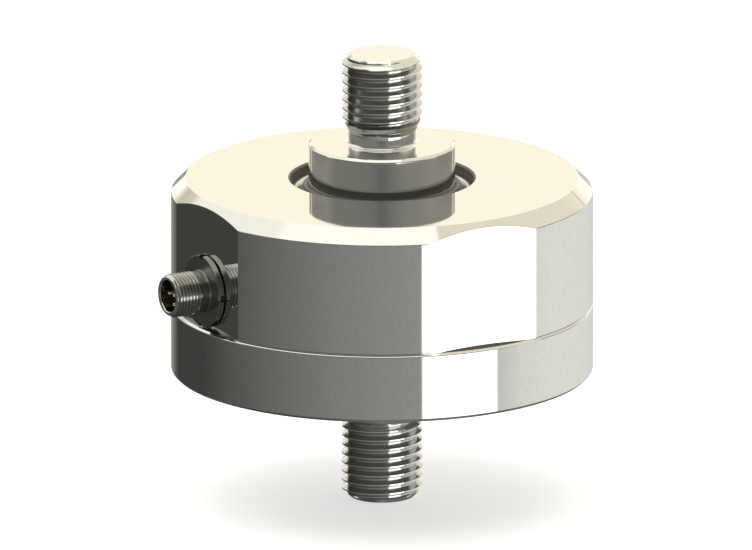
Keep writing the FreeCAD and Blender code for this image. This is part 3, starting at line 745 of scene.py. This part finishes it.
def polished_steel(name, bright, dull, roughness):
    finish = Finish(name)
    marks = finish.add("ShaderNodeMix", data_type="FLOAT")
    finish.link(levelness(finish), marks.inputs["Factor"])
    finish.link(finish.noise(GRAIN_SCALE, UP_GRAIN, detail=4), marks.inputs["A"])
    finish.link(lathe_rings(finish), marks.inputs["B"])
    colour = finish.mix(finish.spread(marks.outputs["Result"], 0, 1), dull, bright)
    cloud = finish.noise(CLOUD_SCALE, detail=2)
    finish.link(colour, finish.shader.inputs["Base Color"])
    finish.link(finish.spread(cloud, roughness * 0.8, roughness * 1.25), finish.shader.inputs["Roughness"])
    finish.relief(marks.outputs["Result"], TOOL_MARK)
    finish.shader.inputs["Metallic"].default_value = 1.0
    return finish.material


print("grain about", round(1 / GRAIN_SCALE / MM, 2), "mm wide")

# %% [markdown]
# ## The steels
# The ground and polished faces share one bright steel. The grooves of a thread and the slot beside the
# collar have rougher, darker steels of their own, and their dark tone is painted shade. A dark rim steel
# paints shade on the base's seam, on the fading end of the upper thread and round the connector's flange
# and bore. The connector's own steels are rougher and darker, as tools leave them that only cut. Each has
# a bright and a dull tone, and a roughness. The slot's steel is only partly metallic, which keeps the
# slot's painted shade dark.

# %% Make the steels
BRIGHT = (0.95, 0.95, 0.94, 1)
DULL = (0.88, 0.88, 0.87, 1)
SLOT_SHADE_METALLIC = 0.4
steels = {name: polished_steel(name, *look) for name, look in {
    "housing_steel": (BRIGHT, DULL, 0.05),
    "base_steel": (BRIGHT, DULL, 0.05),
    "spring_steel": (BRIGHT, DULL, 0.05),
    # Below, the dark tones of the two groove steels, the slot steel and the rim steel are painted shade.
    "groove_shade_steel": ((0.7, 0.7, 0.68, 1), (0.62, 0.62, 0.6, 1), 0.12),
    "slot_shade_steel": ((0.2, 0.2, 0.19, 1), (0.16, 0.16, 0.15, 1), 0.4),
    "connector_steel": ((0.8, 0.79, 0.75, 1), (0.72, 0.71, 0.68, 1), 0.1),
    "nose_groove_shade_steel": ((0.5, 0.5, 0.48, 1), (0.42, 0.42, 0.4, 1), 0.2),
    "painted_shade_steel": ((0.32, 0.32, 0.3, 1), (0.26, 0.26, 0.25, 1), 0.2),
    "flange_steel": ((0.5, 0.5, 0.48, 1), (0.43, 0.43, 0.41, 1), 0.3),
    "lip_steel": ((0.9, 0.9, 0.88, 1), (0.82, 0.82, 0.8, 1), 0.38),
    "diaphragm_steel": ((0.95, 0.93, 0.88, 1), (0.85, 0.83, 0.78, 1), 0.25),
    "screw_steel": ((0.32, 0.32, 0.33, 1), (0.24, 0.24, 0.25, 1), 0.32),
}.items()}
# The slot steel's low metallic keeps its painted shade dark.
slot_shade_shader = steels["slot_shade_steel"].node_tree.nodes["Principled BSDF"]
slot_shade_shader.inputs["Metallic"].default_value = SLOT_SHADE_METALLIC
print("steels:", len(steels))

# %% [markdown]
# ## Which face has which steel
# Each dressed piece has a short list of steels and a rule. The rule looks at a face's centre, in
# millimetres, and at its normal, and gives the steel's number in the list. Most faces have
# number 0, the piece's own steel.

# %% Rules for the faces
CREST_MARGIN = 0.08  # a groove ends this far below the crests
ROOT_MARGIN = 0.1
END_MARGIN = 0.15
OPENING_MARGIN = 0.7  # faces up to this far outside the opening belong to its wall
SEAM_MARGIN = 0.02
FADE_HEIGHT = 3.4  # how far the fading part of the upper thread reaches, which is painted dark as shade
SHADE_TROUGH_RADIUS = 21.75  # the diaphragm is painted dark as shade inside this radius
BAND_MARGIN = 0.2
FLANGE_MARGIN = 0.16
FACES_OUT = -0.95  # a normal's X, of a face that looks out of the flat


def is_groove(reach, height, radius, pitch, length, chamfer):
    """Whether a face at this distance from a thread's axis lies between its crests."""
    end_cone = radius - chamfer + length - height
    crest = min(radius - CREST_MARGIN, end_cone - END_MARGIN)
    return root_radius(radius, pitch) - ROOT_MARGIN < reach < crest


def is_stud_groove(centre, height):
    return is_groove(
        centre.xy.length, height, STUD_RADIUS, STUD_PITCH, STUD_LENGTH, STUD_END_CHAMFER
    )


def housing_rule(centre, normal):
    # The opening's wall and ledge get the slot steel, painted dark as shade.
    return centre.xy.length < OPENING_RADIUS + OPENING_MARGIN


def base_rule(centre, normal):
    # Thread grooves get the groove steel, darkened as painted shade.
    if LOWER_NECK < -centre.z and is_stud_groove(centre, -centre.z):
        return 1
    # The seam face gets the rim steel, painted dark as shade in the gap between the parts.
    return 2 if abs(centre.z - SEAM) < SEAM_MARGIN else 0


def spring_rule(centre, normal):
    height = centre.z - COLLAR_TOP
    # The fading part of the upper thread gets the rim steel, painted dark as shade over what it mirrors.
    if UPPER_NECK < height < UPPER_NECK + FADE_HEIGHT:
        return 2
    # Thread grooves get the groove steel, darkened as painted shade.
    return height > UPPER_NECK and is_stud_groove(centre, height)


def diaphragm_rule(centre, normal):
    # The inner trough gets the slot steel, painted dark as shade.
    return centre.xy.length < SHADE_TROUGH_RADIUS


def connector_rule(centre, normal):
    height = -centre.x - FLAT_RADIUS
    reach = math.hypot(centre.y, centre.z - CONNECTOR_LEVEL)
    looks_out = normal.x < FACES_OUT
    # Nose grooves get the nose groove steel, darkened as painted shade.
    if height > THREAD_START and is_groove(
        reach, height, NOSE_RADIUS, NOSE_PITCH, NOSE_TIP, NOSE_END_CHAMFER
    ):
        return 1
    # Round the flange, on the band and in the bore, faces get the rim steel, painted dark as shade; the
    # rim's broken edges and the flange's front face keep their own steels.
    if height < THREAD_START + BAND_MARGIN:
        if reach > FLANGE_RADIUS - FLANGE_MARGIN and 0.5 < abs(normal.x) < 0.9:
            return 0
        return 4 if looks_out else 3
    return 2 if looks_out else 0


print("the grooves of a stud end", STUD_RADIUS - CREST_MARGIN, "mm from its axis")

# %% [markdown]
# ## Dressing the steel parts
# Now each piece gets its steels, face by face, and the hidden screws and pins get a plain dark one.

# %% Dress the steel parts
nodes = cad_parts
for thing, names, rule in (
    (housing_body, ["housing_steel", "slot_shade_steel"], housing_rule),
    (base_body, ["base_steel", "groove_shade_steel", "painted_shade_steel"], base_rule),
    (spring_body, ["spring_steel", "groove_shade_steel", "painted_shade_steel"], spring_rule),
    (diaphragm, ["diaphragm_steel", "slot_shade_steel"], diaphragm_rule),
    (
        connector_body,
        ["connector_steel", "nose_groove_shade_steel", "lip_steel", "painted_shade_steel", "flange_steel"],
        connector_rule,
    ),
):
    thing.data.materials.clear()
    for name in names:
        thing.data.materials.append(steels[name])
    for face in thing.data.polygons:
        face.material_index = int(rule(face.center / MM, face.normal))
    used = {face.material_index for face in thing.data.polygons}
    print(thing.name, "wears", [names[index] for index in sorted(used)])
for name in ("spring_screws", "housing_screws", "board_screws", "dowel_pins"):
    use(steels["screw_steel"], nodes[name])

# %% [markdown]
# ## Plated and moulded finishes
# What isn't steel is small or hidden: gold contacts, a black insulator, seals, and the board with
# its chips. Each is one base tone that drifts in a fine noise, with its own roughness and a
# little relief. The numbers differ, so one function makes them all.

# %% Other finishes
def fine_finish(name, light, dark, roughness, scale, metallic=0.0, depth=5e-6, stretch=(1, 1, 1)):
    finish = Finish(name)
    speck = finish.noise(scale, stretch)
    finish.link(finish.mix(finish.spread(speck, 0, 1), dark, light), finish.shader.inputs["Base Color"])
    finish.link(finish.spread(speck, roughness * 0.8, roughness * 1.2), finish.shader.inputs["Roughness"])
    finish.relief(speck, depth)
    finish.shader.inputs["Metallic"].default_value = metallic
    return finish.material


pins = [f"contact_pin_{number}" for number in range(1, 6)]
leads = [f"lead_wire_{number}" for number in range(1, 6)]
for name, light, dark, roughness, scale, more, names in (
    ("contact_gold", (255, 250, 215), (252, 240, 195), 0.3, 3000, {"metallic": 0.7, "depth": 1e-6}, pins),
    ("insert_plastic", (112, 110, 106), (98, 97, 93), 0.45, 4000, {}, ["connector_insert"]),
    ("potting_resin", (40, 36, 30), (26, 24, 21), 0.35, 900, {}, ["connector_potting"]),
    ("seal_rubber", (36, 36, 36), (24, 24, 24), 0.6, 2500, {}, ["base_seal", "connector_seal"]),
    ("wire_insulation", (176, 60, 44), (158, 50, 38), 0.4, 2000, {}, ["bridge_wires", *leads]),
    ("gauge_foil", (214, 150, 70), (190, 120, 48), 0.35, 5000, {"stretch": (1, 0.1, 1)},
     ["strain_gauges", "gauge_terminals"]),
    ("spacer_brass", (222, 190, 120), (204, 168, 96), 0.3, 1500, {"metallic": 1.0, "depth": 2e-6},
     ["board_spacers"]),
    ("chip_plastic", (42, 42, 44), (30, 30, 32), 0.5, 6000, {}, ["amplifier_chip"]),
    ("resistor_ceramic", (60, 62, 70), (44, 46, 54), 0.4, 3000, {}, ["trim_resistors"]),
    ("capacitor_can", (196, 198, 202), (176, 178, 184), 0.28, 2500, {"metallic": 1.0, "depth": 2e-6},
     ["capacitors"]),
    ("board_laminate", (38, 96, 62), (28, 80, 50), 0.35, 1800, {"stretch": (1, 0.2, 1)},
     ["terminal_board"]),
):
    finish = fine_finish(name, tone(*light), tone(*dark), roughness, scale, **more)
    use(finish, *(nodes[node] for node in names))
print("finishes:", len(bpy.data.materials))

# %% [markdown]
# ## The camera
# The picture was taken from the left, a little above the top face, through a very long lens: the
# edges of the base and of the top face are nearly equal ellipses. An orthographic camera
# is such a lens. It is turned 30 degrees to the left and stands 15 degrees high.

# %% Place the camera
VIEW_AZIMUTH = -30.0
VIEW_ELEVATION = 15.0
VIEW_WIDTH = 0.2049
VIEW_TARGET = Vector((-1.42, 0.82, 36.9)) * MM
VIEW_DISTANCE = 1.0

azimuth = math.radians(VIEW_AZIMUTH)
elevation = math.radians(VIEW_ELEVATION)
towards_camera = Vector((
    math.sin(azimuth) * math.cos(elevation), -math.cos(azimuth) * math.cos(elevation),
    math.sin(elevation),
))
camera = bpy.data.objects.new("camera", bpy.data.cameras.new("camera"))
bpy.context.scene.collection.objects.link(camera)
camera.data.type = "ORTHO"
camera.data.ortho_scale = VIEW_WIDTH
camera.location = VIEW_TARGET + towards_camera * VIEW_DISTANCE
camera.rotation_mode = "QUATERNION"
camera.rotation_quaternion = (-towards_camera).to_track_quat("-Z", "Y")
bpy.context.scene.camera = camera
bpy.context.scene.view_settings.view_transform = "Standard"
bpy.context.scene.cycles.use_denoising = True
print("camera at", [round(value, 3) for value in camera.location])

# %% [markdown]
# ## The studio
# Polished steel shows its surroundings, so the studio is made for what it mirrors: a dark side on
# the left, a white panel on the right of the camera, light grey behind the right shoulder,
# and a cream ceiling and back wall. The world's colour depends on the direction alone. Six
# colour ramps run round the horizon, one for each height, and factors blend them upwards.
# The ramp over the horizon fills a narrow band, which the collar mirrors by way of the top face.
# Below and above that band the chamfer finds lighter tones.

# %% Tones round the horizon
# A stop is (azimuth, tone from 0 to 255) and may have its own tint. No tone is the white panel.
PANEL = 1.7  # the panel's linear light
PANEL_LEFT = -97.1
PANEL_RIGHT = -54.2
PEARL = (1.0, 1.0, 0.94)  # share of each colour in the light from below
WARM = (1.0, 0.98, 0.88)  # in the light from above
CREAM = (0.97, 0.915, 0.725)  # and from the back wall
GROUND_STOPS = [
    (-180, 84), (-120, 96), (-90, 104), (-40, 100), (20, 92), (60, 110), (95, 60), (180, 84),
]
LOW_STOPS = [
    (-180, 101), (-143, 121), (-97.6, 138), (PANEL_LEFT, None), (PANEL_RIGHT, None), (-53.6, 190),
    (-38, 208), (-10, 216), (30, 212), (50, 202), (60, 168), (72, 136), (82, 102), (90, 60),
    (125, 60), (155, 84), (180, 101),
]
HORIZON_STOPS = [
    (-180, 120), (-130, 121), (-125, 106), (-121, 110), (-92, 129), (-58, 137), (-15, 126),
    (8, 150), (20, 226, CREAM), (30, 246, CREAM), (38, 255), (82, 255), (88, 200, CREAM),
    (102, 190, CREAM), (112, 112), (180, 120),
]
MIRROR_STOPS = [
    (-180, 117), (-150, 115), (-139, 113), (-127, 105), (-124, 98), (-117, 98), (-100, 118),
    (-75, 128), (-40, 126), (-15, 118), (26, 112), (27, 208, CREAM), (32, 208, CREAM), (33, 110),
    (40, 110), (47, 252, CREAM), (74, 252, CREAM), (82, 114), (88, 114), (89, 205, CREAM),
    (94, 205, CREAM), (95, 114), (180, 117),
]
SHOULDER_STOPS = [
    (-180, 100), (-130, 90), (-64, 110), (-46, 170), (-30, 222, CREAM), (-8, 224, CREAM),
    (18, 226, CREAM), (34, 240, CREAM), (42, 250), (84, 246), (91, 206, CREAM), (95, 208, CREAM),
    (100, 240), (142, 240), (160, 110), (180, 100),
]
CEILING_STOPS = [
    (-180, 255), (-59.2, 255), (-58.4, 221, CREAM), (-30, 226, CREAM), (15, 228, CREAM),
    (40, 250), (180, 255),
]
print("the white panel is", round(PANEL_RIGHT - PANEL_LEFT), "degrees wide")

# %% Build the world
WORLD_STRENGTH = 1.1

world = bpy.data.worlds.new("studio")
world.use_nodes = True
bpy.context.scene.world = world
tree = world.node_tree
direction = tree.nodes.new("ShaderNodeSeparateXYZ")
tree.links.new(tree.nodes.new("ShaderNodeTexCoord").outputs["Generated"], direction.inputs["Vector"])
angle = tree.nodes.new("ShaderNodeMath")
angle.operation = "ARCTAN2"
tree.links.new(direction.outputs["Y"], angle.inputs[0])
tree.links.new(direction.outputs["X"], angle.inputs[1])
turn = tree.nodes.new("ShaderNodeMapRange")
turn.inputs["From Min"].default_value = -math.pi
turn.inputs["From Max"].default_value = math.pi
tree.links.new(angle.outputs["Value"], turn.inputs["Value"])


def round_ramp(name, stops, tint):
    """Colour ramp round the horizon."""
    ramp = tree.nodes.new("ShaderNodeValToRGB")
    ramp.label = name
    elements = ramp.color_ramp.elements
    while len(elements) < len(stops):
        elements.new(0.5)
    for element, (azimuth, shade, *own_tint) in zip(elements, stops):
        element.position = (azimuth + 180) / 360
        light = PANEL if shade is None else tone(shade, shade, shade)[0]
        element.color = [light * share for share in (own_tint[0] if own_tint else tint)] + [1]
    tree.links.new(turn.outputs["Result"], ramp.inputs["Fac"])
    return ramp.outputs["Color"]


def blend_by_height(below, above, low, high):
    """Goes from one colour to the other between two heights of the direction's Z."""
    share = tree.nodes.new("ShaderNodeMapRange")
    share.interpolation_type = "SMOOTHSTEP"
    share.inputs["From Min"].default_value = low
    share.inputs["From Max"].default_value = high
    tree.links.new(direction.outputs["Z"], share.inputs["Value"])
    mix = tree.nodes.new("ShaderNodeMix")
    mix.data_type = "RGBA"
    tree.links.new(share.outputs["Result"], mix.inputs["Factor"])
    tree.links.new(below, mix.inputs["A"])
    tree.links.new(above, mix.inputs["B"])
    return mix.outputs["Result"]


sky = round_ramp("ground", GROUND_STOPS, PEARL)
for name, stops, tint, low, high in (
    ("under the horizon", LOW_STOPS, PEARL, -0.36, -0.29),
    ("horizon", HORIZON_STOPS, WARM, -0.08, -0.02),
    ("over the horizon", MIRROR_STOPS, WARM, 0.248, 0.252),
    ("shoulder", SHOULDER_STOPS, WARM, 0.266, 0.27),
    ("ceiling", CEILING_STOPS, WARM, 0.78, 0.86),
):
    sky = blend_by_height(sky, round_ramp(name, stops, tint), low, high)
tree.links.new(sky, tree.nodes["Background"].inputs["Color"])
tree.nodes["Background"].inputs["Strength"].default_value = WORLD_STRENGTH
print("world ramps:", sum(node.type == "VALTORGB" for node in tree.nodes))

# %% [markdown]
# ## Floor and lamp
# The sensor stands on its lower stud on a pale floor. The floor glows faintly, so that it is as
# white as the paper of a catalogue and its shadow stays light. The steel doesn't mirror it,
# or every upright face would be white. Seen from below the floor is clear, so that the
# underside can be looked at. One large soft lamp gives the shadow its direction.

# %% Floor and lamp
FLOOR_SIZE = 8.0
FLOOR_TONE = (0.85, 0.85, 0.85, 1)
FLOOR_GLOW = 0.6
LAMP_SIZE = 1.3
LAMP_POWER = 3.2
LAMP_PLACE = Vector((-0.12, 0.05, 0.9))
LAMP_TARGET = Vector((0, 0, 0.03))

floor_shape = bmesh.new()
bmesh.ops.create_grid(floor_shape, x_segments=1, y_segments=1, size=FLOOR_SIZE / 2)
bmesh.ops.translate(floor_shape, vec=(0, 0, cad_low.z), verts=floor_shape.verts[:])
floor = new_object(floor_shape, "floor")
floor.visible_glossy = False
paper = Finish("floor_paper")
paper.shader.inputs["Base Color"].default_value = FLOOR_TONE
paper.shader.inputs["Roughness"].default_value = 1.0
paper.shader.inputs["Specular IOR Level"].default_value = 0.0
paper.shader.inputs["Emission Color"].default_value = (1, 1, 1, 1)
paper.shader.inputs["Emission Strength"].default_value = FLOOR_GLOW
clear = paper.add("ShaderNodeBsdfTransparent")
sides = paper.add("ShaderNodeMixShader")
paper.link(paper.add("ShaderNodeNewGeometry").outputs["Backfacing"], sides.inputs["Fac"])
paper.link(paper.shader.outputs["BSDF"], sides.inputs[1])
paper.link(clear.outputs["BSDF"], sides.inputs[2])
paper.link(sides.outputs["Shader"], paper.tree.nodes["Material Output"].inputs["Surface"])
use(paper.material, floor)
floor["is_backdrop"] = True

lamp = bpy.data.objects.new("soft_lamp", bpy.data.lights.new("soft_lamp", "AREA"))
lamp.data.size = LAMP_SIZE
lamp.data.energy = LAMP_POWER
lamp.location = LAMP_PLACE
lamp.rotation_mode = "QUATERNION"
lamp.rotation_quaternion = (LAMP_TARGET - LAMP_PLACE).to_track_quat("-Z", "Y")
lamp.visible_glossy = False
bpy.context.scene.collection.objects.link(lamp)
print("floor at", round(1000 * cad_low.z, 1), "mm")

# %% [markdown]
# ## The finished box
# The finished model has to stay in the CAD model's box. Both boxes are written down, and the frame
# checks the pieces.

# %% Write the sizes and finish
low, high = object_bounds()
print("box in mm:", [round(1000 * side, 2) for side in high - low])
